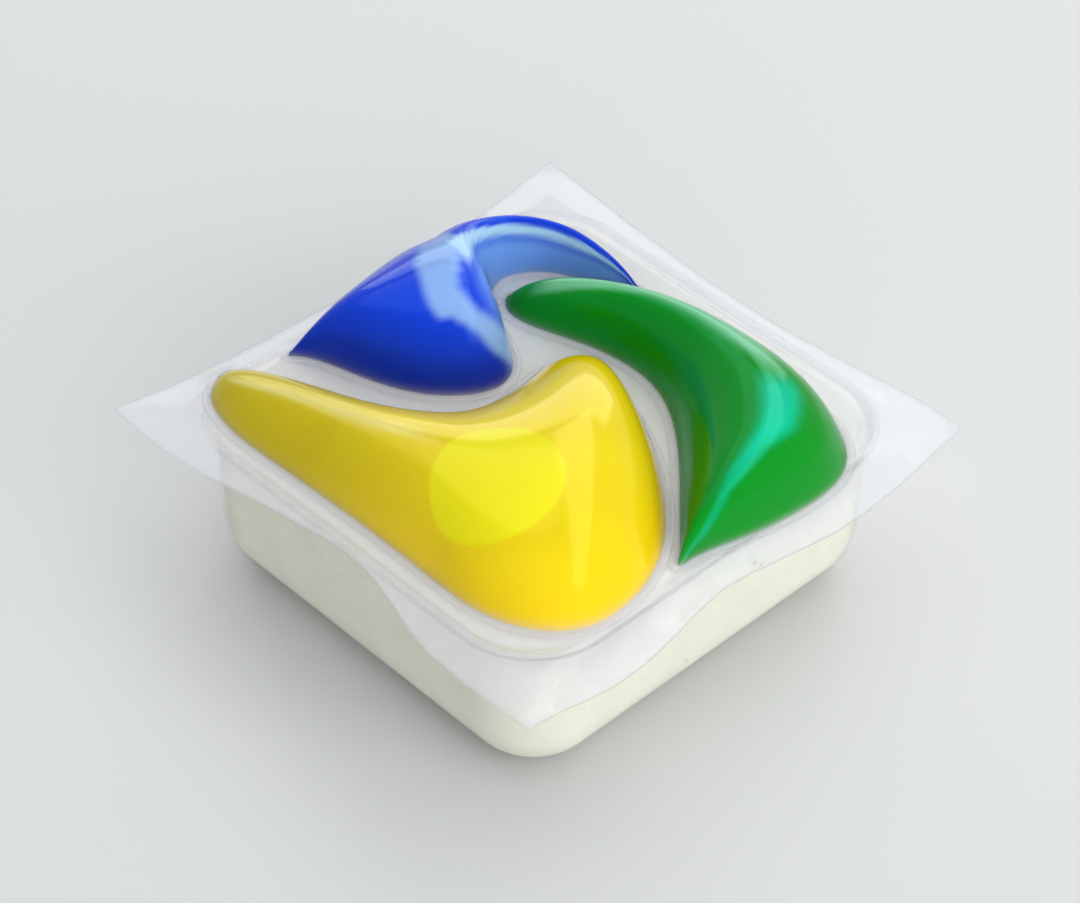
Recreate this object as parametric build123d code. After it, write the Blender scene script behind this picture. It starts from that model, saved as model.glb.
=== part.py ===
from build123d import *
import os

os.makedirs("parts", exist_ok=True)

# Driving dimensions in mm. The capsule lies flat, powder pocket down, Z up.
film_side = 43.0             # sealed square of film, corner to corner
film_draw_in = 1.2           # how far each cut edge is drawn in at its middle
pocket_film = 0.22           # thickness of the film that the pocket is formed from
lid_film = 0.12              # thickness of the middle film and of the top film
seal_width = 3.1             # film left flat round the pocket, to its corners
pocket_corner_radius = 6.0   # its upright corners, at the rim
pocket_depth = 13.6          # from the rim down to the flat bottom, outside
pocket_foot_radius = 4.6     # rounding between wall and bottom, outside
pocket_draft_angle = 2.0     # degrees that the pocket's walls lean in
fill_clearance = 0.08        # gap between a filling and the film round it
yellow_height = 6.6          # gel crests above the middle film
green_height = 6.0
blue_height = 6.4
dome_side_pull = 0.2         # share of the width that a dome's sides lean in

# Each gel is a run of arches from one end to the other. A row holds an arch's
# outer foot and inner foot, x and y, as shares of half the film side, then its
# height as a share of the gel's crest.
yellow_share = [
    (-0.86, -0.69, -0.86, -0.61, 0.10),
    (-0.80, -0.75, -0.79, -0.56, 0.29),
    (-0.64, -0.79, -0.67, -0.51, 0.46),
    (-0.40, -0.79, -0.51, -0.46, 0.60),
    (-0.10, -0.78, -0.34, -0.40, 0.74),
    (0.25, -0.78, -0.21, -0.31, 0.88),
    (0.60, -0.76, -0.14, -0.19, 0.97),
    (0.82, -0.58, -0.13, -0.06, 1.00),
    (0.79, -0.26, -0.14, 0.06, 0.94),
    (0.60, -0.01, -0.15, 0.15, 0.81),
    (0.37, 0.15, -0.12, 0.21, 0.63),
    (0.18, 0.23, -0.06, 0.25, 0.41),
    (0.08, 0.24, 0.03, 0.26, 0.16),
]
green_share = [
    (-0.51, 0.37, -0.51, 0.32, 0.10),
    (-0.44, 0.44, -0.45, 0.29, 0.36),
    (-0.32, 0.51, -0.35, 0.30, 0.60),
    (-0.12, 0.59, -0.20, 0.35, 0.78),
    (0.15, 0.66, -0.01, 0.39, 0.90),
    (0.46, 0.69, 0.18, 0.37, 0.96),
    (0.74, 0.66, 0.36, 0.27, 1.00),
    (0.89, 0.51, 0.52, 0.13, 0.95),
    (0.91, 0.30, 0.63, 0.02, 0.84),
    (0.88, 0.10, 0.72, -0.07, 0.65),
    (0.84, -0.06, 0.78, -0.13, 0.39),
    (0.83, -0.15, 0.81, -0.17, 0.10),
]
blue_share = [
    (-0.81, -0.39, -0.80, -0.40, 0.08),
    (-0.81, -0.31, -0.72, -0.35, 0.37),
    (-0.83, -0.20, -0.59, -0.31, 0.64),
    (-0.86, -0.07, -0.42, -0.25, 0.84),
    (-0.89, 0.04, -0.28, -0.14, 0.95),
    (-0.90, 0.14, -0.22, -0.01, 1.00),
    (-0.88, 0.22, -0.30, 0.11, 0.96),
    (-0.86, 0.30, -0.43, 0.19, 0.89),
    (-0.83, 0.37, -0.54, 0.27, 0.81),
    (-0.78, 0.45, -0.60, 0.35, 0.75),
    (-0.70, 0.55, -0.61, 0.42, 0.71),
    (-0.59, 0.63, -0.57, 0.50, 0.66),
    (-0.48, 0.68, -0.50, 0.56, 0.58),
    (-0.37, 0.70, -0.41, 0.60, 0.46),
    (-0.28, 0.70, -0.32, 0.63, 0.32),
    (-0.21, 0.69, -0.24, 0.66, 0.12),
]
gel_rows = {
    "yellow_gel": (yellow_share, yellow_height),
    "green_gel": (green_share, green_height),
    "blue_gel": (blue_share, blue_height),
}

pocket_side = film_side - 2 * seal_width    # powder pocket, outside, at its rim
rim_z = pocket_depth                        # top of the pocket film's flange
gel_floor_z = rim_z + lid_film              # top of the middle film


def foot(row, first):
    """The foot of an arch on the middle film: the first one or the second."""
    at = 0 if first else 2
    half = film_side / 2
    return Vector(row[at] * half, row[at + 1] * half, gel_floor_z)


def side(rows, first, grow):
    """The feet along one side of a dome, moved out by grow, square to that side."""
    points = [foot(row, first) for row in rows]
    away = [foot(row, first) - foot(row, not first) for row in rows]
    ahead = [after - before for before, after in zip(points[:1] + points, points[1:] + points[-1:])]
    square = [step.cross(Vector(0, 0, 1)).normalized() for step in ahead]
    if sum(s.dot(a) for s, a in zip(square, away)) < 0:
        square = [-s for s in square]
    square[0], square[-1] = away[0].normalized(), away[-1].normalized()
    return [point + s * grow for point, s in zip(points, square)]


def end_shift(row, neighbour, grow):
    """How far an end arch moves outward along its dome when that grows."""
    outward = (foot(row, True) + foot(row, False)
               - foot(neighbour, True) - foot(neighbour, False))
    return outward.normalized() * grow


def arch(foot_a, foot_b, crest):
    """One closed arch across a dome, its legs sunk below the middle film's top."""
    pull = (foot_b - foot_a) * dome_side_pull
    up = Vector(0, 0, crest * 4 / 3)
    crown = Edge.make_bezier(foot_a, foot_a + pull + up, foot_b - pull + up, foot_b)
    down = Vector(0, 0, -lid_film)
    under = Edge.make_line(foot_b + down, foot_a + down)
    legs = [Edge.make_line(foot_b, foot_b + down), Edge.make_line(foot_a + down, foot_a)]
    return Wire([crown, legs[0], under, legs[1]])


def dome(name, grow):
    """A gel's solid, or one grown by grow, cut level on the middle film."""
    rows, height = gel_rows[name]
    shifts = [Vector()] * len(rows)
    shifts[0] = end_shift(rows[0], rows[1], grow)
    shifts[-1] = end_shift(rows[-1], rows[-2], grow)
    arches = [
        arch(foot_a + shift, foot_b + shift, row[4] * height + grow)
        for row, foot_a, foot_b, shift in zip(
            rows, side(rows, True, grow), side(rows, False, grow), shifts)
    ]
    floor = Box(2 * film_side, 2 * film_side, rim_z, align=(Align.CENTER, Align.CENTER, Align.MAX))
    return Part() + Solid.make_loft(arches) - floor.moved(Location((0, 0, gel_floor_z)))


def film_sheet(z_low, thickness):
    """The square of film with its edges drawn in, lying flat at z_low."""
    half = film_side / 2
    mid = half - film_draw_in
    with BuildPart() as sheet:
        with BuildSketch(Plane.XY.offset(z_low)):
            with BuildLine():
                ThreePointArc((-half, -half), (0, -mid), (half, -half))
                ThreePointArc((half, -half), (mid, 0), (half, half))
                ThreePointArc((half, half), (0, mid), (-half, half))
                ThreePointArc((-half, half), (-mid, 0), (-half, -half))
            make_face()
        extrude(amount=thickness)
    return sheet.part


def pocket(inset, bottom_z, foot_radius):
    """The pocket's form: a rounded square, leaning in, with a round foot."""
    side = pocket_side - 2 * inset
    with BuildPart() as form:
        with BuildSketch(Plane.XY.offset(rim_z)):
            RectangleRounded(side, side, pocket_corner_radius - inset)
        extrude(amount=bottom_z - rim_z, taper=pocket_draft_angle)
        fillet(form.faces().sort_by(Axis.Z)[0].edges(), foot_radius)
    return form.part


def save(name, part):
    """Write one piece as parts/NAME.step."""
    export_step(part, f"parts/{name}.step")


# Pocket film: the formed tray with its flange, open at the rim.
inner_foot = pocket_foot_radius - pocket_film
outside = pocket(0, 0, pocket_foot_radius)
inside = pocket(pocket_film, pocket_film, inner_foot)
save("tub_film", outside + film_sheet(rim_z - pocket_film, pocket_film) - inside)

# Powder: fills the tray up to the rim.
save("powder_fill", pocket(pocket_film + fill_clearance, pocket_film, inner_foot))

# Middle film: the flat sheet that closes the powder pocket.
save("middle_film", film_sheet(rim_z, lid_film))

# Top film: a sheet drawn up into three hollow domes.
top = film_sheet(gel_floor_z, lid_film)
for name in gel_rows:
    top = top + dome(name, fill_clearance + lid_film)
for name in gel_rows:
    top = top - dome(name, fill_clearance)
save("top_film", top)

# Gels: each fills its dome.
for name in gel_rows:
    save(name, dome(name, 0))
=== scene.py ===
import math

import bmesh
import bpy
import numpy as np
from mathutils import Matrix, Vector


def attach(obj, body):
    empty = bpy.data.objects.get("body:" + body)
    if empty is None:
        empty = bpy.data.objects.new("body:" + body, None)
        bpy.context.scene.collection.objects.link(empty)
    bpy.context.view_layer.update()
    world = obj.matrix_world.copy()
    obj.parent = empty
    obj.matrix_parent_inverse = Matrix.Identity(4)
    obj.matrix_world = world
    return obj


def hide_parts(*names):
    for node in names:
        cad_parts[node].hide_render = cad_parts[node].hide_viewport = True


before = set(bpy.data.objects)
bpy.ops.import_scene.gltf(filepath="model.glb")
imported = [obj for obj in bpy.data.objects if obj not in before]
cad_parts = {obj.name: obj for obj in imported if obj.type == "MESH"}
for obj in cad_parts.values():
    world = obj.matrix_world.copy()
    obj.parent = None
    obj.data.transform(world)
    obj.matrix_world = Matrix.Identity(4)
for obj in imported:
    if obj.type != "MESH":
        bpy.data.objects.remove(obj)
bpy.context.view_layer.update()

# Powder: pressed white detergent powder that fills the formed pocket up to its
# rim. It is a block with a rounded foot, and its grain shows through the film.
MM = 0.001
RIM_Z = 13.6 * MM               # level of the pocket's rim
POCKET_HALF = 18.4 * MM         # half the pocket's side, outside, at the rim
POCKET_CORNER = 6.0 * MM        # radius of its upright corners
POCKET_FOOT = 4.6 * MM          # radius between its wall and its bottom
POCKET_LEAN = math.radians(2)   # how far its walls lean in
POCKET_FILM = 0.22 * MM         # thickness of the film round the powder
POWDER_GAP = 0.30 * MM          # from the pocket's outside to the powder
AROUND = 26                     # points on each side and on each corner of a ring
BOTTOM_RINGS, FOOT_RINGS, WALL_RINGS, LID_RINGS = 9, 14, 11, 13


def rounded_square(half, corner):
    """Outline of a square with round corners: four straight runs and four quarter
    circles, with as many points on each as AROUND says, from the right side on."""
    turn = np.linspace(0, math.pi / 2, AROUND + 1)
    run = np.linspace(-1, 1, AROUND, endpoint=False)[:, None] * (half - corner)
    arc = np.stack([np.cos(turn), np.sin(turn)], 1)[:-1] * corner + (half - corner)
    quarters = [np.vstack([np.hstack([np.full_like(run, half), run]), arc])]
    for _ in range(3):
        x, y = quarters[-1].T
        quarters.append(np.stack([-y, x], 1))
    return np.vstack(quarters)


def ring(inset, z, share=1):
    """The rim's outline drawn in by inset, shrunk to a share and set at height z."""
    flat = rounded_square(POCKET_HALF - inset, POCKET_CORNER - inset) * share
    return np.column_stack([flat, np.full(len(flat), z)])


def pocket_rings(gap, floor_z, top_z):
    """The pocket's form as rings from its bottom's middle up to top_z: each ring is
    the rim's outline drawn in by the wall's lean, the foot's arc and gap."""
    foot = POCKET_FOOT - floor_z
    lean = math.tan(POCKET_LEAN)
    reach = foot * math.tan((math.pi / 2 - POCKET_LEAN) / 2)
    base_in = gap + (RIM_Z - floor_z) * lean + reach
    rings = [ring(base_in, floor_z, share) for share in np.linspace(0, 1, BOTTOM_RINGS, endpoint=False)]
    for a in np.linspace(0, math.pi / 2 - POCKET_LEAN, FOOT_RINGS):
        foot_z = floor_z + foot * (1 - math.cos(a))
        rings.append(ring(base_in - foot * math.sin(a), foot_z))
    for z in np.linspace(foot_z, top_z, WALL_RINGS + 1)[1:]:
        rings.append(ring(gap + (RIM_Z - z) * lean, z))
    return np.array(rings)


def new_piece(name, points, faces, marks=None):
    """A smooth object with these points and faces. Marks are values per point, kept
    as attributes that a material can read."""
    mesh = bpy.data.meshes.new(name)
    mesh.from_pydata(points, [], faces)
    for label, values in (marks or {}).items():
        layer = mesh.attributes.new(label, "FLOAT", "POINT")
        layer.data.foreach_set("value", values.ravel().astype(np.float32))
    mesh.shade_smooth()
    piece = bpy.data.objects.new(name, mesh)
    bpy.context.scene.collection.objects.link(piece)
    return piece


def piece_from_rings(name, ring_sets, marks=None, sharp=None):
    """A closed piece over sets of rows of points, each row a ring: quads between
    neighbours, with rows that shrink to a point merged there and faces turned
    outwards. Edges that bend by more than sharp degrees stay sharp."""
    faces, start = [], 0
    for rings in ring_sets:
        rows, count = rings.shape[:2]
        at = start + np.arange(rows * count).reshape(rows, count)
        ahead = np.roll(at, -1, 1)
        faces.append(np.stack([at[:-1], ahead[:-1], ahead[1:], at[1:]], -1).reshape(-1, 4))
        start += rows * count
    points = np.concatenate([rings.reshape(-1, 3) for rings in ring_sets])
    piece = new_piece(name, points, np.concatenate(faces).tolist(), marks)
    shell = bmesh.new()
    shell.from_mesh(piece.data)
    bmesh.ops.remove_doubles(shell, verts=shell.verts, dist=1e-7)
    bmesh.ops.dissolve_degenerate(shell, edges=shell.edges, dist=1e-8)
    bmesh.ops.recalc_face_normals(shell, faces=shell.faces)
    shell.to_mesh(piece.data)
    shell.free()
    if sharp:
        piece.data.set_sharp_from_angle(angle=math.radians(sharp))
    return piece


def new_material(name, **settings):
    """A Principled material with these sockets set, and its nodes to add to."""
    material = bpy.data.materials.new(name)
    material.use_nodes = True
    nodes, links = material.node_tree.nodes, material.node_tree.links
    shader = nodes["Principled BSDF"]
    for socket, value in settings.items():
        shader.inputs[socket.replace("_", " ")].default_value = value
    return material, nodes, links, shader


def noise(nodes, links, where, scale, detail, distortion=0):
    """Value of a noise texture over the coordinates where, which is a socket."""
    texture = nodes.new("ShaderNodeTexNoise")
    texture.inputs["Scale"].default_value = scale
    texture.inputs["Detail"].default_value = detail
    texture.inputs["Distortion"].default_value = distortion
    links.new(where, texture.inputs["Vector"])
    return texture.outputs["Fac"]


def calculated(nodes, links, operation, *terms):
    """Result of a Math node over these terms, each a socket or a plain number."""
    step = nodes.new("ShaderNodeMath")
    step.operation = operation
    for place, term in zip(step.inputs, terms):
        if isinstance(term, bpy.types.NodeSocket):
            links.new(term, place)
        else:
            place.default_value = term
    return step.outputs[0]


def remapped(nodes, links, value, start, end, low=0, high=1):
    """Goes evenly from low to high while value, a socket, goes from start to end,
    and stays level beyond."""
    span = nodes.new("ShaderNodeMapRange")
    for socket, number in (("From Min", start), ("From Max", end), ("To Min", low), ("To Max", high)):
        span.inputs[socket].default_value = number
    links.new(value, span.inputs["Value"])
    return span.outputs["Result"]


def graded(nodes, links, value, start, low, end, high):
    """Colour that goes from low to high while value goes from start to end."""
    ramp = nodes.new("ShaderNodeValToRGB")
    for stop, place, colour in zip(ramp.color_ramp.elements, (start, end), (low, high)):
        stop.position, stop.color = place, colour
    links.new(value, ramp.inputs["Fac"])
    return ramp.outputs["Color"]


def mixed(nodes, links, share, first, second):
    """Colour that goes from first, a socket, to second, a colour, by share. A Mix
    node for colours takes them at its inputs 6 and 7 and gives the result at 2."""
    mix = nodes.new("ShaderNodeMix")
    mix.data_type = "RGBA"
    mix.inputs[7].default_value = second
    links.new(share, mix.inputs[0])
    links.new(first, mix.inputs[6])
    return mix.outputs[2]


def bumped(nodes, links, height, strength, distance):
    """Normals of a surface that rises by distance where height, a socket, is 1."""
    relief = nodes.new("ShaderNodeBump")
    relief.inputs["Strength"].default_value = strength
    relief.inputs["Distance"].default_value = distance
    links.new(height, relief.inputs["Height"])
    return relief.outputs["Normal"]


def grain_group():
    """Node group over Object coordinates: the powder's grain, as a shade from fine
    and coarse noise, and a mask of sparse specks at a few of many scattered points."""
    group = bpy.data.node_groups.new("powder grain", "ShaderNodeTree")
    group.interface.new_socket("Shade", in_out="OUTPUT", socket_type="NodeSocketFloat")
    group.interface.new_socket("Specks", in_out="OUTPUT", socket_type="NodeSocketFloat")
    nodes, links = group.nodes, group.links
    out = nodes.new("NodeGroupOutput")
    where = nodes.new("ShaderNodeTexCoord").outputs["Object"]
    fine = noise(nodes, links, where, scale=3200, detail=3)
    coarse = noise(nodes, links, where, scale=420, detail=2)
    weak = calculated(nodes, links, "MULTIPLY", coarse, 0.4)
    links.new(calculated(nodes, links, "MULTIPLY_ADD", fine, 0.6, weak), out.inputs["Shade"])
    dots = nodes.new("ShaderNodeTexVoronoi")
    dots.inputs["Scale"].default_value = 330
    links.new(where, dots.inputs["Vector"])
    near = remapped(nodes, links, dots.outputs["Distance"], 0.07, 0.02)
    chance = nodes.new("ShaderNodeSeparateColor")
    links.new(dots.outputs["Color"], chance.inputs["Color"])
    chosen = calculated(nodes, links, "GREATER_THAN", chance.outputs["Red"], 0.8)
    links.new(calculated(nodes, links, "MULTIPLY", near, chosen), out.inputs["Specks"])
    return group


powder_stuff, nodes, links, shader = new_material(
    "pressed powder", Roughness=0.85, Specular_IOR_Level=0.25, Coat_Weight=0.35,
    Coat_Roughness=0.2, Subsurface_Weight=0.15, Subsurface_Scale=1.2 * MM,
)
grain = nodes.new("ShaderNodeGroup")
grain.node_tree = grain_group()
shade, specks = grain.outputs["Shade"], grain.outputs["Specks"]
tint = graded(nodes, links, shade, 0.25, (0.78, 0.78, 0.64, 1), 0.70, (0.90, 0.90, 0.77, 1))
speckled = mixed(nodes, links, specks, tint, (0.28, 0.27, 0.24, 1))
links.new(speckled, shader.inputs["Base Color"])
links.new(bumped(nodes, links, shade, 0.2, 0.12 * MM), shader.inputs["Normal"])

powder_rings = pocket_rings(POWDER_GAP, POCKET_FILM, RIM_Z)
lid = [powder_rings[-1] * [s, s, 1] for s in np.linspace(1, 0, LID_RINGS + 1)[1:]]
powder = piece_from_rings("powder", [np.concatenate([powder_rings, lid])], sharp=40)
powder.data.materials.append(powder_stuff)
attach(powder, "root")
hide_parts("powder_fill")

# Pocket film: clear water-soluble film, heated and drawn into a square mould, so
# that it is a tray with a rolled rim. It lies close on the powder all round.
ROLL = 0.7 * MM                 # radius of the bend from the wall to the seal
FLANGE_Z = RIM_Z - 0.05 * MM    # top of the bend, close under the seal


def film_haze_group():
    """Node group over Object coordinates: a film's milkiness, which is the given
    strength made uneven by soft noise, and normals with a fine ripple."""
    group = bpy.data.node_groups.new("film haze", "ShaderNodeTree")
    group.interface.new_socket("Haze", in_out="INPUT", socket_type="NodeSocketFloat")
    group.interface.new_socket("Alpha", in_out="OUTPUT", socket_type="NodeSocketFloat")
    group.interface.new_socket("Normal", in_out="OUTPUT", socket_type="NodeSocketVector")
    nodes, links = group.nodes, group.links
    enter, out = nodes.new("NodeGroupInput"), nodes.new("NodeGroupOutput")
    where = nodes.new("ShaderNodeTexCoord").outputs["Object"]
    cloud = noise(nodes, links, where, scale=260, detail=3)
    uneven = remapped(nodes, links, cloud, 0.25, 0.75, 0.85, 1.15)
    links.new(calculated(nodes, links, "MULTIPLY", enter.outputs["Haze"], uneven), out.inputs["Alpha"])
    ripple = noise(nodes, links, where, scale=190, detail=1)
    links.new(bumped(nodes, links, ripple, 0.3, 0.2 * MM), out.inputs["Normal"])
    return group


film_haze = film_haze_group()


def film_material(name, haze, **settings):
    """Clear film: a milky share of the surface is drawn and the rest shows what is
    behind it. The share is the piece's own haze attribute, or haze if it is given."""
    material, nodes, links, shader = new_material(
        name, Roughness=0.25, Specular_IOR_Level=0.5, Coat_Weight=1.0, Coat_Roughness=0.08,
        Coat_IOR=1.5, **settings,
    )
    group = nodes.new("ShaderNodeGroup")
    group.node_tree = film_haze
    if haze is None:
        own = nodes.new("ShaderNodeAttribute")
        own.attribute_name = "haze"
        links.new(own.outputs["Fac"], group.inputs["Haze"])
    else:
        group.inputs["Haze"].default_value = haze
    links.new(group.outputs["Alpha"], shader.inputs["Alpha"])
    links.new(group.outputs["Normal"], shader.inputs["Normal"])
    return material


def rolled_rim(gap, turns):
    """Rings of the rim's bend: the rim's outline grown along a quarter circle that
    leads from the wall out into the flat seal."""
    return np.array([ring(gap - ROLL * (1 - math.cos(a)), FLANGE_Z - gap - ROLL * (1 - math.sin(a)))
                     for a in turns])


outer = pocket_rings(0, 0, FLANGE_Z - ROLL)
inner = pocket_rings(POCKET_FILM, POCKET_FILM, FLANGE_Z - ROLL - POCKET_FILM)
bend = np.linspace(0, math.pi / 2, 8)[1:]
tray = np.concatenate([outer, rolled_rim(0, bend), rolled_rim(POCKET_FILM, bend[::-1]), inner[::-1]])
pocket_film = piece_from_rings("pocket_film", [tray])
pocket_film.data.materials.append(
    film_material("pocket film", 0.13, Base_Color=(0.78, 0.78, 0.74, 1)))
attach(pocket_film, "root")
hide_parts("tub_film")

# Gels: three coloured cleaning gels, cast into the top film's domes. Each is a
# glossy translucent swirl with a flat floor, and a run of arches gives its form.
GEL_FLOOR = RIM_Z + 0.12 * MM   # top of the middle film
TALLEST_GEL = 6.6 * MM          # the yellow one's height above it
HALF_FILM = 21.5 * MM           # half the side of the sealed film square
SIDE_PULL = 0.2                 # share of the width that an arch's sides lean in
CAP_ROWS = 10                   # rows of points in each rounded end
CAP_REACH = 0.25 * MM           # how far a rounded end stands out
ALONG, OVER, UNDER = 200, 40, 10    # arches of a dome, and points over and under each


def spline(knots, values, at):
    """Cubic spline through values at knots, read off at the places at. Its second
    slopes come from one linear system, with the first and last two spans alike."""
    knots, values = np.asarray(knots, float), np.asarray(values, float)
    n, h = len(knots), np.diff(knots)
    system, right = np.zeros((n, n)), np.zeros_like(values)
    inside = np.arange(1, n - 1)
    system[inside, inside - 1], system[inside, inside + 1] = h[:-1], h[1:]
    system[inside, inside] = 2 * (h[:-1] + h[1:])
    step = np.diff(values, axis=0) / (h if values.ndim == 1 else h[:, None])
    right[1:-1] = 6 * np.diff(step, axis=0)
    system[0, :3] = h[1], -(h[0] + h[1]), h[0]
    system[-1, -3:] = h[-1], -(h[-2] + h[-1]), h[-2]
    bent = np.linalg.solve(system, right)
    k = np.clip(np.searchsorted(knots, at) - 1, 0, n - 2)
    a, b, w = knots[k + 1] - at, at - knots[k], h[k]
    if values.ndim > 1:
        a, b, w = a[:, None], b[:, None], w[:, None]
    return (bent[k] * a**3 + bent[k + 1] * b**3) / (6 * w) \
        + (values[k] / w - bent[k] * w / 6) * a + (values[k + 1] / w - bent[k + 1] * w / 6) * b


def dome_run(rows, height, grow):
    """Both feet and the crest of a dome's arches, from end to end, grown by grow: a
    spline through the given rows, with half-ellipse caps that round off its ends."""
    rows = np.array(rows)
    feet = rows[:, :4] * HALF_FILM
    crest = rows[:, 4] * height + grow
    for first in (0, 2):
        line, other = feet[:, first:first + 2], rows[:, 2 - first:4 - first] * HALF_FILM
        ahead = np.gradient(line, axis=0)
        square = np.stack([ahead[:, 1], -ahead[:, 0]], 1)
        square /= np.linalg.norm(square, axis=1)[:, None]
        away = line - other
        square *= np.sign((square * away).sum())
        square[[0, -1]] = away[[0, -1]] / np.linalg.norm(away[[0, -1]], axis=1)[:, None]
        feet[:, first:first + 2] = line + square * grow
    run = np.column_stack([feet, crest])
    chord = np.sqrt(np.linalg.norm(np.diff(run[:, :4], axis=0), axis=1))
    knots = np.concatenate([[0], np.cumsum(chord)]) / chord.sum()
    run = spline(knots, run, np.linspace(0, 1, ALONG))
    middle = (run[:, :2] + run[:, 2:4]) / 2
    caps = []
    for end, before in ((0, 1), (-1, -2)):
        outward = middle[end] - middle[before]
        outward /= np.linalg.norm(outward)
        turn = np.linspace(0, math.pi / 2, CAP_ROWS + 1)[1:]
        centre = middle[end] + np.outer(np.sin(turn) * (CAP_REACH + grow), outward)
        arm = np.outer(np.cos(turn), (run[end, :2] - run[end, 2:4]) / 2)
        caps.append(np.column_stack([centre + arm, centre - arm, run[end, 4] * np.cos(turn)]))
    return np.concatenate([caps[0][::-1], run, caps[1]])


def arches(run, s):
    """Points of each arch at shares s of its way: a cubic Bezier from foot to foot,
    whose sides lean in by SIDE_PULL of its width."""
    s = np.broadcast_to(s, (len(run), np.shape(s)[-1]))
    share = (1 - s)**3 + 3 * (1 - s)**2 * s * (1 - SIDE_PULL) + 3 * (1 - s) * s**2 * SIDE_PULL
    flat = run[:, None, :2] * share[..., None] + run[:, None, 2:4] * (1 - share)[..., None]
    z = GEL_FLOOR + run[:, 4, None] * 4 * s * (1 - s)
    return np.concatenate([flat, z[..., None]], -1)


def eased(count):
    """Shares from 0 to 1, closer together near both ends, as a cosine gives them."""
    return (1 - np.cos(np.linspace(0, math.pi, count))) / 2


def ease(value, start, end):
    """Rises smoothly from 0 at start to 1 at end."""
    share = np.clip((value - start) / (end - start), 0, 1)
    return share * share * (3 - 2 * share)


def gel_rings(rows, height):
    """A gel's closed cross-sections, each arch and its flat floor back, with each
    point's share of the way along the gel and across its arch."""
    run = dome_run(rows, height, 0)
    back = np.linspace(1, 0, UNDER + 2)[1:-1]
    floor = run[:, None, :2] * (1 - back)[:, None] + run[:, None, 2:4] * back[:, None]
    floor = np.concatenate([floor, np.full(floor.shape[:2] + (1,), GEL_FLOOR)], -1)
    across = np.concatenate([eased(OVER), back])
    along = (np.arange(len(run)) - CAP_ROWS) / (len(run) - 2 * CAP_ROWS - 1)
    along, across = np.meshgrid(np.clip(along, 0, 1), across, indexing="ij")
    return np.concatenate([arches(run, eased(OVER)), floor], 1), along, across


def gel_group():
    """Node group over Object coordinates: the gel's cloudiness, which is a slow
    swirl of noise, and its height as a share of the tallest gel's."""
    group = bpy.data.node_groups.new("gel body", "ShaderNodeTree")
    group.interface.new_socket("Cloud", in_out="OUTPUT", socket_type="NodeSocketFloat")
    group.interface.new_socket("Height", in_out="OUTPUT", socket_type="NodeSocketFloat")
    nodes, links = group.nodes, group.links
    out = nodes.new("NodeGroupOutput")
    where = nodes.new("ShaderNodeTexCoord").outputs["Object"]
    swirl = noise(nodes, links, where, scale=110, detail=2, distortion=0.6)
    links.new(swirl, out.inputs["Cloud"])
    split = nodes.new("ShaderNodeSeparateXYZ")
    links.new(where, split.inputs[0])
    height = remapped(nodes, links, split.outputs["Z"], GEL_FLOOR, GEL_FLOOR + TALLEST_GEL)
    links.new(height, out.inputs["Height"])
    return group


gel_body = gel_group()


def gel_material(name, low, high, tone_and_painted_glint, painted_highlight, glow, gleam, gloss, skin):
    """Glossy gel: its colour goes from low at the floor to high at the crest, which is
    painted light and shade that change with height, then to a second colour and to a
    painted highlight where the piece's own attributes say; the second colour is a deeper
    tone on the yellow gel and painted reflected light on the others. It is made a little
    cloudy, with light spreading inside it by glow. Gleam tints what it reflects, gloss
    sets how much, and skin is the share of white gloss that the film adds."""
    material, nodes, links, shader = new_material(
        name, Roughness=0.12, Specular_IOR_Level=gloss, Specular_Tint=gleam, Coat_Weight=skin,
        Coat_Roughness=0.07, Coat_IOR=1.5, Subsurface_Weight=0.15, Subsurface_Radius=glow,
        Subsurface_Scale=2 * MM,
    )
    group = nodes.new("ShaderNodeGroup")
    group.node_tree = gel_body
    colour = graded(nodes, links, group.outputs["Height"], 0.05, low, 0.75, high)
    # Two marks: a deeper tone on the yellow gel and painted reflected light on the others, then a painted
    # highlight.
    for mark, shade in (("tone_and_painted_glint", tone_and_painted_glint), ("painted_highlight", painted_highlight)):
        place = nodes.new("ShaderNodeAttribute")
        place.attribute_name = mark
        colour = mixed(nodes, links, place.outputs["Fac"], colour, shade)
    tint = nodes.new("ShaderNodeVectorMath")
    tint.operation = "SCALE"
    links.new(colour, tint.inputs[0])
    links.new(remapped(nodes, links, group.outputs["Cloud"], 0, 1, 0.88, 1.1), tint.inputs["Scale"])
    links.new(tint.outputs[0], shader.inputs["Base Color"])
    return material


def add_gel(name, node, rows, height, material, tone_and_painted_glint, painted_highlight):
    """One gel in its dome. Two functions of the shares of the way along the gel and across
    it say where its other colours lie: the first its second colour, a deeper tone on the
    yellow gel and painted reflected light on the others, the second its painted highlight."""
    rings, along, across = gel_rings(rows, height)
    marks = {"tone_and_painted_glint": tone_and_painted_glint(along, across), "painted_highlight": painted_highlight(along, across)}
    piece = piece_from_rings(name, [rings], marks, sharp=50)
    piece.data.materials.append(material)
    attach(piece, "root")
    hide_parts(node)


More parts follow.
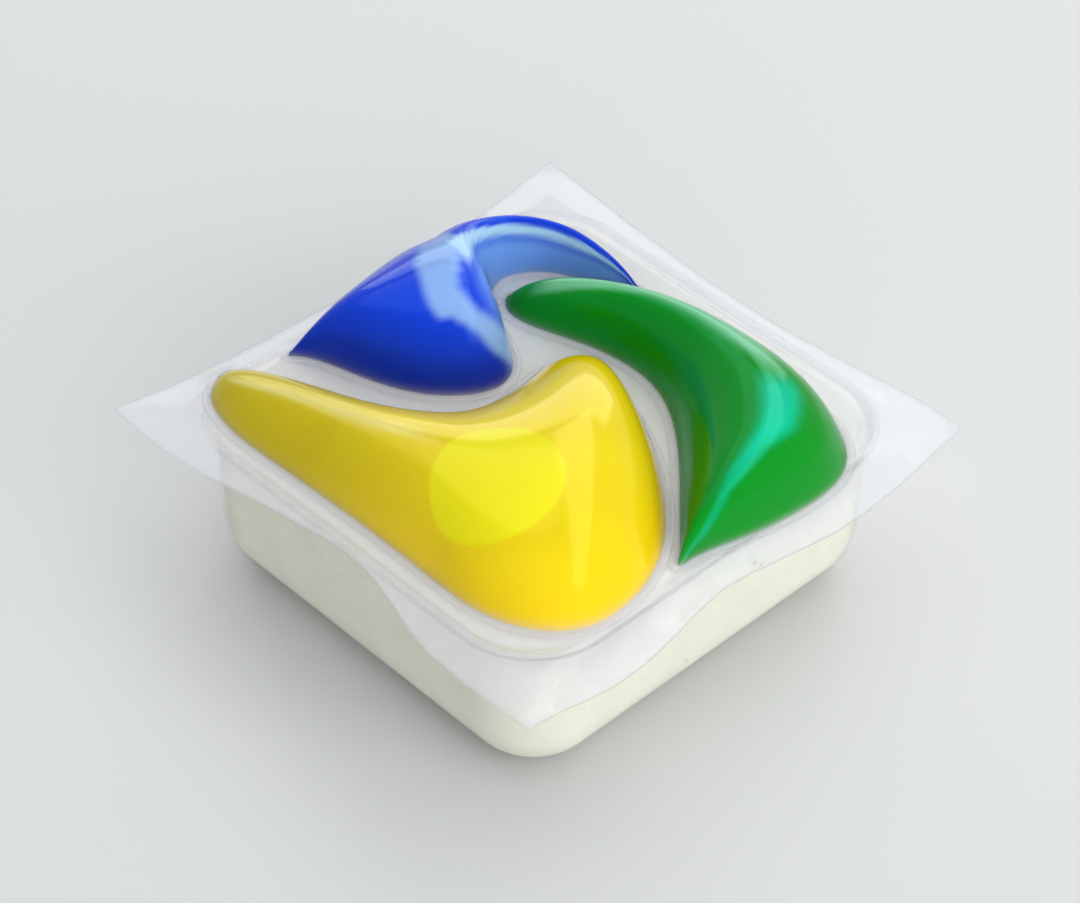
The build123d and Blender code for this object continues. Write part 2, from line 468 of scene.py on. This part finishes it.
# Yellow gel: the largest swirl, a drop at the front with a tail to the left.
# A row gives an arch's outer and inner foot, as shares of HALF_FILM, and height.
YELLOW = [
    (-0.86, -0.69, -0.86, -0.61, 0.10), (-0.80, -0.75, -0.79, -0.56, 0.29),
    (-0.64, -0.79, -0.67, -0.51, 0.46), (-0.40, -0.79, -0.51, -0.46, 0.60),
    (-0.10, -0.78, -0.34, -0.40, 0.74), (0.25, -0.78, -0.21, -0.31, 0.88),
    (0.60, -0.76, -0.14, -0.19, 0.97), (0.82, -0.58, -0.13, -0.06, 1.00),
    (0.79, -0.26, -0.14, 0.06, 0.94), (0.60, -0.01, -0.15, 0.15, 0.81),
    (0.37, 0.15, -0.12, 0.21, 0.63), (0.18, 0.23, -0.06, 0.25, 0.41),
    (0.08, 0.24, 0.03, 0.26, 0.16),
]
YELLOW_HEIGHT = TALLEST_GEL
LIGHT_PATCH = (7.3 * MM, -10.9 * MM)     # where a round patch of painted light lies on the yellow gel, seen from above
LIGHT_PATCH_RADIUS = 4.6 * MM
LIGHT_PATCH_EDGE = 0.12 * MM             # half the width over which its outline fades


def add_light_patch(material):
    """Painted light on the gel: inside a round outline, seen from above, its colour is
    painted brighter, where light gathers in the gel."""
    nodes, links = material.node_tree.nodes, material.node_tree.links
    shader = nodes["Principled BSDF"]
    gel_colour = shader.inputs["Base Color"].links[0].from_socket
    where = nodes.new("ShaderNodeTexCoord")
    centred = nodes.new("ShaderNodeMapping")
    centred.inputs["Location"].default_value = (-LIGHT_PATCH[0], -LIGHT_PATCH[1], 0)
    centred.inputs["Scale"].default_value = (1, 1, 0)
    links.new(where.outputs["Object"], centred.inputs["Vector"])
    off = nodes.new("ShaderNodeVectorMath")
    off.operation = "LENGTH"
    links.new(centred.outputs["Vector"], off.inputs[0])
    inside = remapped(nodes, links, off.outputs["Value"],
                      LIGHT_PATCH_RADIUS + LIGHT_PATCH_EDGE, LIGHT_PATCH_RADIUS - LIGHT_PATCH_EDGE)
    inside.node.interpolation_type = "SMOOTHSTEP"
    bright = mixed(nodes, links, inside, gel_colour, (0.85, 0.77, 0.0, 1))
    links.new(bright, shader.inputs["Base Color"])


def yellow_tail(along, across):
    """Deeper ochre in the tail, fading out towards the drop."""
    return 0.9 * (1 - ease(along, 0.16, 0.50))


def yellow_painted_highlight(along, across):
    """A painted highlight: a pale line along the tail's crest, fading out towards the drop."""
    crest = np.interp(along, [0.08, 0.16, 0.24, 0.32, 0.40], [0.38, 0.44, 0.47, 0.48, 0.51])
    line = ease(across, crest - 0.07, crest) * (1 - ease(across, crest, crest + 0.07))
    return 0.55 * line * ease(along, 0.04, 0.10) * (1 - ease(along, 0.36, 0.46))


# Painted light: the yellow's floor colour is brighter and warmer than its crest's, lighting its lower
# slopes.
yellow_stuff = gel_material(
    "yellow gel", (0.95, 0.64, 0.0, 1), (0.82, 0.64, 0.0, 1), (0.56, 0.45, 0.0, 1),
    (0.98, 0.90, 0.42, 1), (1.0, 0.75, 0.05), (1.0, 0.88, 0.20, 1), 0.65, 0.03)
# Paint a round patch of light onto the yellow gel.
add_light_patch(yellow_stuff)
add_gel("gel_yellow", "yellow_gel", YELLOW, YELLOW_HEIGHT, yellow_stuff, yellow_tail, yellow_painted_highlight)

# Green gel: a broad swirl at the right, cast as the yellow one is, with a point
# where it curls round that one.
GREEN = [
    (-0.51, 0.37, -0.51, 0.32, 0.10), (-0.44, 0.44, -0.45, 0.29, 0.36),
    (-0.32, 0.51, -0.35, 0.30, 0.60), (-0.12, 0.59, -0.20, 0.35, 0.78),
    (0.15, 0.66, -0.01, 0.39, 0.90), (0.46, 0.69, 0.18, 0.37, 0.96),
    (0.74, 0.66, 0.36, 0.27, 1.00), (0.89, 0.51, 0.52, 0.13, 0.95),
    (0.91, 0.30, 0.63, 0.02, 0.84), (0.88, 0.10, 0.72, -0.07, 0.65),
    (0.84, -0.06, 0.78, -0.13, 0.39), (0.83, -0.15, 0.81, -0.17, 0.10),
]
GREEN_HEIGHT = 6.0 * MM


def green_painted_glint(along, across):
    """A painted reflection: a turquoise hook, broad where the gel turns, then thinner down to its point."""
    inner = np.interp(along, [0.60, 0.71, 0.81, 0.86, 0.90, 0.95], [0.52, 0.51, 0.53, 0.49, 0.41, 0.31])
    outer = np.interp(along, [0.60, 0.69, 0.75, 0.85, 0.89, 0.94], [0.34, 0.34, 0.41, 0.40, 0.32, 0.20])
    across_it = ease(across, outer - 0.05, outer + 0.05) * (1 - ease(across, inner - 0.03, inner + 0.03))
    return across_it * ease(along, 0.56, 0.62) * (1 - 0.6 * ease(along, 0.70, 0.90))


def green_painted_edge(along, across):
    """A painted reflection: a mint band along the far side of the crest, which ends before the turn."""
    near = np.interp(along, [0.10, 0.17, 0.25, 0.32, 0.48, 0.56], [0.80, 0.74, 0.65, 0.59, 0.58, 0.52])
    band = ease(across, 0.34, 0.40) * (1 - ease(across, near - 0.08, near))
    return 0.55 * band * ease(along, 0.08, 0.16) * (1 - ease(along, 0.50, 0.60))


green_stuff = gel_material(
    "green gel", (0.0, 0.27, 0.001, 1), (0.0, 0.27, 0.001, 1), (0.0, 0.55, 0.30, 1),
    (0.30, 0.70, 0.47, 1), (0.1, 1.0, 0.15), (0.05, 1.0, 0.7, 1), 0.40, 0.02)
add_gel("gel_green", "green_gel", GREEN, GREEN_HEIGHT, green_stuff, green_painted_glint, green_painted_edge)

# Blue gel: the third swirl, at the back left, with an arm that curls round the
# green one's end.
BLUE = [
    (-0.81, -0.39, -0.80, -0.40, 0.08), (-0.81, -0.31, -0.72, -0.35, 0.37),
    (-0.83, -0.20, -0.59, -0.31, 0.64), (-0.86, -0.07, -0.42, -0.25, 0.84),
    (-0.89, 0.04, -0.27, -0.14, 0.95), (-0.90, 0.14, -0.20, 0.01, 1.00),
    (-0.88, 0.22, -0.27, 0.13, 0.96), (-0.86, 0.30, -0.42, 0.20, 0.89),
    (-0.83, 0.37, -0.54, 0.27, 0.81), (-0.78, 0.45, -0.60, 0.35, 0.75),
    (-0.70, 0.55, -0.61, 0.42, 0.71), (-0.59, 0.63, -0.57, 0.50, 0.66),
    (-0.48, 0.68, -0.50, 0.56, 0.58), (-0.37, 0.70, -0.41, 0.60, 0.46),
    (-0.28, 0.70, -0.32, 0.63, 0.32), (-0.21, 0.69, -0.24, 0.66, 0.12),
]
BLUE_HEIGHT = 6.4 * MM


def blue_painted_arm_light(along, across):
    """Painted reflected light: a lighter blue on the arm's near side, with less of it, a painted darker
    line, under its crest.
    """
    crest = np.interp(along, [0.47, 0.62, 0.70, 0.80, 0.85, 0.94], [0.60, 0.71, 0.74, 0.76, 0.75, 0.68])
    lower = 0.45 + 0.4 * ease(across, crest + 0.03, crest + 0.09)
    return lower * ease(along, 0.36, 0.46) * ease(across, crest - 0.06, crest)


def blue_painted_band(along, across):
    """A painted reflection: a pale band along the arm's crest, round the bend and down to its point."""
    start = np.interp(across, [0.25, 0.43, 0.62, 0.71, 0.75, 0.80, 0.89, 1.0],
                      [0.38, 0.31, 0.29, 0.29, 0.32, 0.34, 0.36, 0.41])
    end = np.interp(across, [0.43, 0.54, 0.62, 0.74, 0.89, 1.0],
                    [0.46, 0.39, 0.35, 0.36, 0.42, 0.45])
    bend = ease(along, start - 0.012, start + 0.012) * (1 - ease(along, end - 0.015, end + 0.015))
    far = np.interp(along, [0.42, 0.54, 0.64, 0.75, 0.82, 0.88, 0.94, 1.0],
                    [0.36, 0.51, 0.60, 0.63, 0.63, 0.60, 0.57, 0.50])
    near = np.interp(along, [0.39, 0.47, 0.62, 0.70, 0.80, 0.85, 0.94, 1.0],
                     [0.56, 0.60, 0.71, 0.74, 0.76, 0.75, 0.66, 0.55])
    on_arm = ease(along, 0.38, 0.43) * ease(across, far, far + 0.04)
    crest = on_arm * (1 - ease(across, near - 0.03, near + 0.02))
    return np.maximum(0.60 * bend * ease(across, 0.26, 0.38), 0.95 * crest)


# Painted light: the blue's crest colour is lighter than its floor's.
blue_stuff = gel_material(
    "blue gel", (0.0, 0.018, 0.44, 1), (0.0, 0.040, 0.68, 1), (0.20, 0.44, 1.0, 1),
    (0.42, 0.68, 0.88, 1), (0.05, 0.2, 1.0), (0.15, 0.45, 1.0, 1), 0.50, 0.03)
add_gel("gel_blue", "blue_gel", BLUE, BLUE_HEIGHT, blue_stuff, blue_painted_arm_light, blue_painted_band)

# Seal: the middle film, the top film and the pocket's film pressed together. It
# is one sheet, flat between the domes, and its cut edges wave and hang a little.
SEAL_TOP = GEL_FLOOR + 0.12 * MM
SEAL_THICK = 0.26 * MM
SKIN_OUTSIDE = 0.18 * MM        # from a gel to the outside of its dome of film
LEVEL_REACH = 1.4 * MM          # how close to a dome the sheet becomes level
CREASE_IN = 0.4 * MM            # from the pocket's outline in to the crease over it
CREASE_DEPTH, CREASE_WIDTH = 0.16 * MM, 0.35 * MM
RIPPLE = 0.05 * MM              # height of the small ripples in the edges
RIPPLE_RATES = 31, 13           # two waves along an edge that make them uneven
DRAW_FROM = 0.6                 # share of the way out from which edges are drawn in
DOMES = [(YELLOW, YELLOW_HEIGHT), (GREEN, GREEN_HEIGHT), (BLUE, BLUE_HEIGHT)]


def outline_of(run):
    """A dome's outline on the film: the feet on its first side, then those on its
    second side back, without the two tips twice."""
    return np.concatenate([run[:, :2], run[-2:0:-1, 2:4]])


def distance_to(outline, x, y):
    """How far each point lies outside a closed outline, negative inside: the least
    distance to its edges, signed by how often a ray from the point crosses them."""
    a, b = outline, np.roll(outline, -1, 0)
    d = b - a
    length = (d * d).sum(1) + 1e-18
    px, py = x.ravel()[:, None], y.ravel()[:, None]
    t = np.clip(((px - a[:, 0]) * d[:, 0] + (py - a[:, 1]) * d[:, 1]) / length, 0, 1)
    off = np.hypot(a[:, 0] + t * d[:, 0] - px, a[:, 1] + t * d[:, 1] - py).min(1)
    crosses = (a[:, 1] > py) != (b[:, 1] > py)
    at = a[:, 0] + (py - a[:, 1]) * d[:, 0] / np.where(d[:, 1] == 0, 1e-18, d[:, 1])
    inside = (crosses & (px < at)).sum(1) % 2 == 1
    return np.where(inside, -off, off).reshape(x.shape)


# Each edge of the film square: the way out across it, the phase of its ripples,
# places along it, from -1 to 1, then how far the cut edge is drawn in there and
# how far it hangs down, in mm.
EDGES = {
    "front left": ((0, -1), 22.0, [-1, -0.5, -0.1, 0.15, 0.45, 0.75, 1],
                   [0.0, 0.7, 2.0, 2.1, 0.6, 0.1, 0.2],
                   [0.0, 0.3, 0.0, 0.0, 0.5, 0.6, 0.2]),
    "front right": ((1, 0), 24.2, [-1, -0.7, -0.45, -0.15, 0.1, 0.4, 0.7, 1],
                    [0.2, 0.3, 0.4, 0.6, 0.5, 0.3, 0.3, 0.3],
                    [0.2, 1.8, 2.1, 0.6, 1.1, 2.1, 1.8, 0.2]),
    "back right": ((0, 1), 22.0, [-1, -0.5, -0.1, 0.3, 0.7, 1],
                   [0.1, 0.9, 1.5, 1.2, 0.5, 0.3],
                   [0.1, 0.4, 0.3, 0.5, 0.3, 0.2]),
    "back left": ((-1, 0), 19.8, [-1, -0.5, 0, 0.5, 1],
                  [0.0, 0.8, 1.3, 0.9, 0.1],
                  [0.0, 0.6, 0.4, 0.7, 0.1]),
}


def seal_sheet(count):
    """The sheet's plan and height over a square grid, and how far each point lies
    outside the crease. The plan is drawn in along its edges. The height dips at the
    crease, hangs beyond the pocket by the edges' values with small ripples, and
    stays level close to the domes' feet."""
    line = np.linspace(-1, 1, count)
    a, b = np.meshgrid(line, line, indexing="ij")
    x, y, drop = a * HALF_FILM, b * HALF_FILM, np.zeros_like(a)
    for outward, phase, places, inset, hang in EDGES.values():
        near = a * outward[0] + b * outward[1]
        place, spread = (a, 1) if outward[0] == 0 else (b, 0)
        inset, hang = (np.expand_dims(np.clip(spline(places, values, line) * MM, 0, None), spread)
                       for values in (inset, hang))
        pull = ease(near, DRAW_FROM, 1) * inset
        x, y = x - outward[0] * pull, y - outward[1] * pull
        past = np.clip((near * HALF_FILM - POCKET_HALF) / (HALF_FILM - POCKET_HALF), 0, 1)
        ripple = RIPPLE * np.sin(place * RIPPLE_RATES[0] + phase) * np.sin(place * RIPPLE_RATES[1])
        drop += past**1.5 * hang + past * ripple
    rim = distance_to(rounded_square(POCKET_HALF - CREASE_IN, POCKET_CORNER - CREASE_IN), x, y)
    foot = np.min([distance_to(outline_of(dome_run(rows, height, SKIN_OUTSIDE)), x, y)
                   for rows, height in DOMES], axis=0)
    crease = CREASE_DEPTH * np.exp(-(rim / CREASE_WIDTH)**2)
    return x, y, SEAL_TOP - (drop + crease) * ease(foot, 0, LEVEL_REACH), rim


def sheet_piece(name, x, y, z, thick, haze):
    """A closed sheet over a grid: its top, and its underside straight below it,
    joined round the grid's edge."""
    n, m = x.shape
    top = np.stack([x, y, z], -1).reshape(-1, 3)
    points = np.concatenate([top, top - [0, 0, thick]])
    at = np.arange(n * m).reshape(n, m)
    over = np.stack([at[:-1, :-1], at[1:, :-1], at[1:, 1:], at[:-1, 1:]], -1).reshape(-1, 4)
    under = over[:, ::-1] + n * m
    edge = np.concatenate([at[:, 0], at[-1, 1:], at[-2::-1, -1], at[0, -2:0:-1]])
    ahead = np.roll(edge, -1)
    side = np.stack([edge, edge + n * m, ahead + n * m, ahead], -1)
    faces = np.concatenate([over, under, side]).tolist()
    return new_piece(name, points, faces, {"haze": np.tile(haze.ravel(), 2)})


# The seal is milkier along its crease, and inside it, where powder lies below.
x, y, z, rim = seal_sheet(count=215)
along_crease = np.exp(-(rim / (0.5 * MM))**2)
over_powder = 1 / (1 + np.exp(rim / (0.25 * MM)))
haze = 0.27 + 0.12 * along_crease + 0.30 * over_powder
seal = sheet_piece("seal", x, y, z, SEAL_THICK, haze)
seal.data.materials.append(
    film_material("sealed film", None, Base_Color=(0.80, 0.80, 0.86, 1)))
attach(seal, "root")
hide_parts("middle_film")

# Top film: thin clear film drawn up into three domes, one over each gel. It
# hugs the gels, so it shows as a clear skin, milky only near the domes' feet.
SKIN_INSIDE = 0.08 * MM         # from a gel to the inside of its dome of film
FLARE = 0.45 * MM               # reach of the small curve from the web up into a dome
FLARE_STEPS = 8                 # points on that curve
LIP_RISE = 0.01 * MM            # how far its outer end lies above the web
LIP_DEPTH = 0.1 * MM            # and how thick the film is there


def away_from(run):
    """Directions in plan that lead away from a dome at the feet on its two sides:
    the tangent of its closed outline turned by a right angle."""
    outline = outline_of(run)
    ahead = np.roll(outline, -1, 0) - np.roll(outline, 1, 0)
    ahead /= np.linalg.norm(ahead, axis=1)[:, None]
    away = np.stack([ahead[:, 1], -ahead[:, 0]], 1)
    after = np.roll(outline, -1, 0)
    if (outline[:, 0] * after[:, 1] - outline[:, 1] * after[:, 0]).sum() < 0:
        away = -away
    first = away[:len(run)]
    second = np.concatenate([away[:1], away[:len(run) - 1:-1], away[len(run) - 1:len(run)]])
    return first, second


def skin_rings(rows, height):
    """A dome of film as closed cross-sections: a curve up from the web, which is a
    quadratic Bezier round the foot, the arch, the curve down, and the inside back."""
    run, inside = dome_run(rows, height, SKIN_OUTSIDE), dome_run(rows, height, SKIN_INSIDE)
    speed = np.hypot(3 * SIDE_PULL * np.linalg.norm(run[:, :2] - run[:, 2:4], axis=1), 4 * run[:, 4])
    start = np.clip(FLARE / np.maximum(speed, 1e-6), 0, 0.25)[:, None]
    u = np.linspace(0, 1, FLARE_STEPS)[:, None]
    curves, lips = [], []
    for place, away, s in zip((0, 2), away_from(run), (start, 1 - start)):
        corner = np.column_stack([run[:, place:place + 2], np.full(len(run), SEAL_TOP)])[:, None]
        lip = corner + np.column_stack([away * FLARE, np.full(len(run), LIP_RISE)])[:, None]
        curves.append((1 - u)**2 * lip + 2 * u * (1 - u) * corner + u * u * arches(run, s))
        lips.append(lip - [0, 0, LIP_DEPTH])
    over = arches(run, start + (1 - 2 * start) * eased(OVER)[None, 1:-1])
    under = arches(inside, eased(OVER)[::-1])
    return np.concatenate([curves[0], over, curves[1][:, ::-1], lips[1], under, lips[0]], 1)


skin_sets = [skin_rings(rows, height) for rows, height in DOMES]
above = np.concatenate([rings[..., 2].ravel() for rings in skin_sets]) - SEAL_TOP
milk = 0.003 + 0.30 * np.exp(-np.clip(above, 0, None) / (0.2 * MM))
skin = piece_from_rings("top_film_domes", skin_sets, {"haze": milk})
skin.data.materials.append(film_material("top film", None, Base_Color=(0.85, 0.85, 0.87, 1)))
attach(skin, "root")
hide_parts("top_film")

# Floor: a plain pale table top for the tablet to lie on. It is far wider than
# the picture.
floor = new_piece("floor", [(-3, -3, 0), (3, -3, 0), (3, 3, 0), (-3, 3, 0)], [(0, 1, 2, 3)])
floor.data.materials.append(new_material(
    "pale table", Base_Color=(0.70, 0.71, 0.70, 1), Roughness=0.6, Specular_IOR_Level=0.2)[0])

# Camera: the photograph's viewing angle, from above the front corner, aimed at
# the middle of the tablet.
AZIMUTH, ELEVATION = math.radians(46.5), math.radians(42)
DISTANCE = 0.24                 # in metres
aim = Vector((0, 0, 10.4 * MM))
back = Vector((math.sin(AZIMUTH) * math.cos(ELEVATION),
               -math.cos(AZIMUTH) * math.cos(ELEVATION), math.sin(ELEVATION)))
camera_data = bpy.data.cameras.new("camera")
camera_data.lens, camera_data.sensor_width = 111, 36
camera_data.clip_start, camera_data.clip_end = 0.01, 20
camera = bpy.data.objects.new("camera", camera_data)
camera.location = aim + back * DISTANCE
camera.rotation_euler = (-back).to_track_quat("-Z", "Y").to_euler()
bpy.context.scene.collection.objects.link(camera)
bpy.context.scene.camera = camera


def soft_light(name, towards, distance, shape, size, along, brightness):
    """A soft box aimed at the tablet, at distance in the direction towards, its
    width along the given direction. Brightness is what a mirror would show."""
    light = bpy.data.lights.new(name, "AREA")
    light.shape = shape
    light.size, light.size_y = size
    area = size[0] * size[1] * (math.pi / 4 if shape == "ELLIPSE" else 1)
    light.energy = brightness * math.pi * area
    box = bpy.data.objects.new(name, light)
    z_axis = Vector(towards).normalized()
    x_axis = Vector(along)
    x_axis = (x_axis - z_axis * x_axis.dot(z_axis)).normalized()
    turned = Matrix((x_axis, z_axis.cross(x_axis), z_axis)).transposed()
    box.matrix_world = Matrix.Translation(aim + z_axis * distance) @ turned.to_4x4()
    box.visible_camera = False
    bpy.context.scene.collection.objects.link(box)
    return box


# Light: a round soft box overhead, a wide one low behind, a long strip high up
# that draws the upright highlight on the yellow gel, and one at the right that
# only lightens the wall there, so nothing mirrors it.
soft_light("overhead", (-0.32, 0.03, 0.95), 0.42, "ELLIPSE", (0.52, 0.52), (1, 0, 0), 0.88)
soft_light("behind", (-0.67, 0.64, 0.38), 0.50, "RECTANGLE", (0.55, 0.20), (0.69, 0.72, 0), 1.7)
soft_light("strip", (0.24, 0.47, 0.85), 0.42, "RECTANGLE", (0.95, 0.14), (0.89, -0.45, 0.03), 1.9)
side_fill = soft_light("side fill", (0.93, -0.22, 0.27), 0.60, "ELLIPSE", (1.30, 0.60), (0.23, 0.97, 0), 2.2)
side_fill.visible_glossy = False

# Surround: an even pale one, brighter where it is seen or mirrored than in the
# light that it gives.
world = bpy.data.worlds.new("surround")
world.use_nodes = True
nodes, links = world.node_tree.nodes, world.node_tree.links
nodes["Background"].inputs["Color"].default_value = (0.9, 0.95, 1.0, 1)
ray = nodes.new("ShaderNodeLightPath").outputs
seen = calculated(nodes, links, "MAXIMUM", ray["Is Camera Ray"], ray["Is Transmission Ray"])
seen = calculated(nodes, links, "MAXIMUM", seen, ray["Is Glossy Ray"])
links.new(remapped(nodes, links, seen, 0, 1, 0.35, 0.60), nodes["Background"].inputs["Strength"])
bpy.context.scene.world = world

bpy.context.scene.view_settings.view_transform = "Standard"
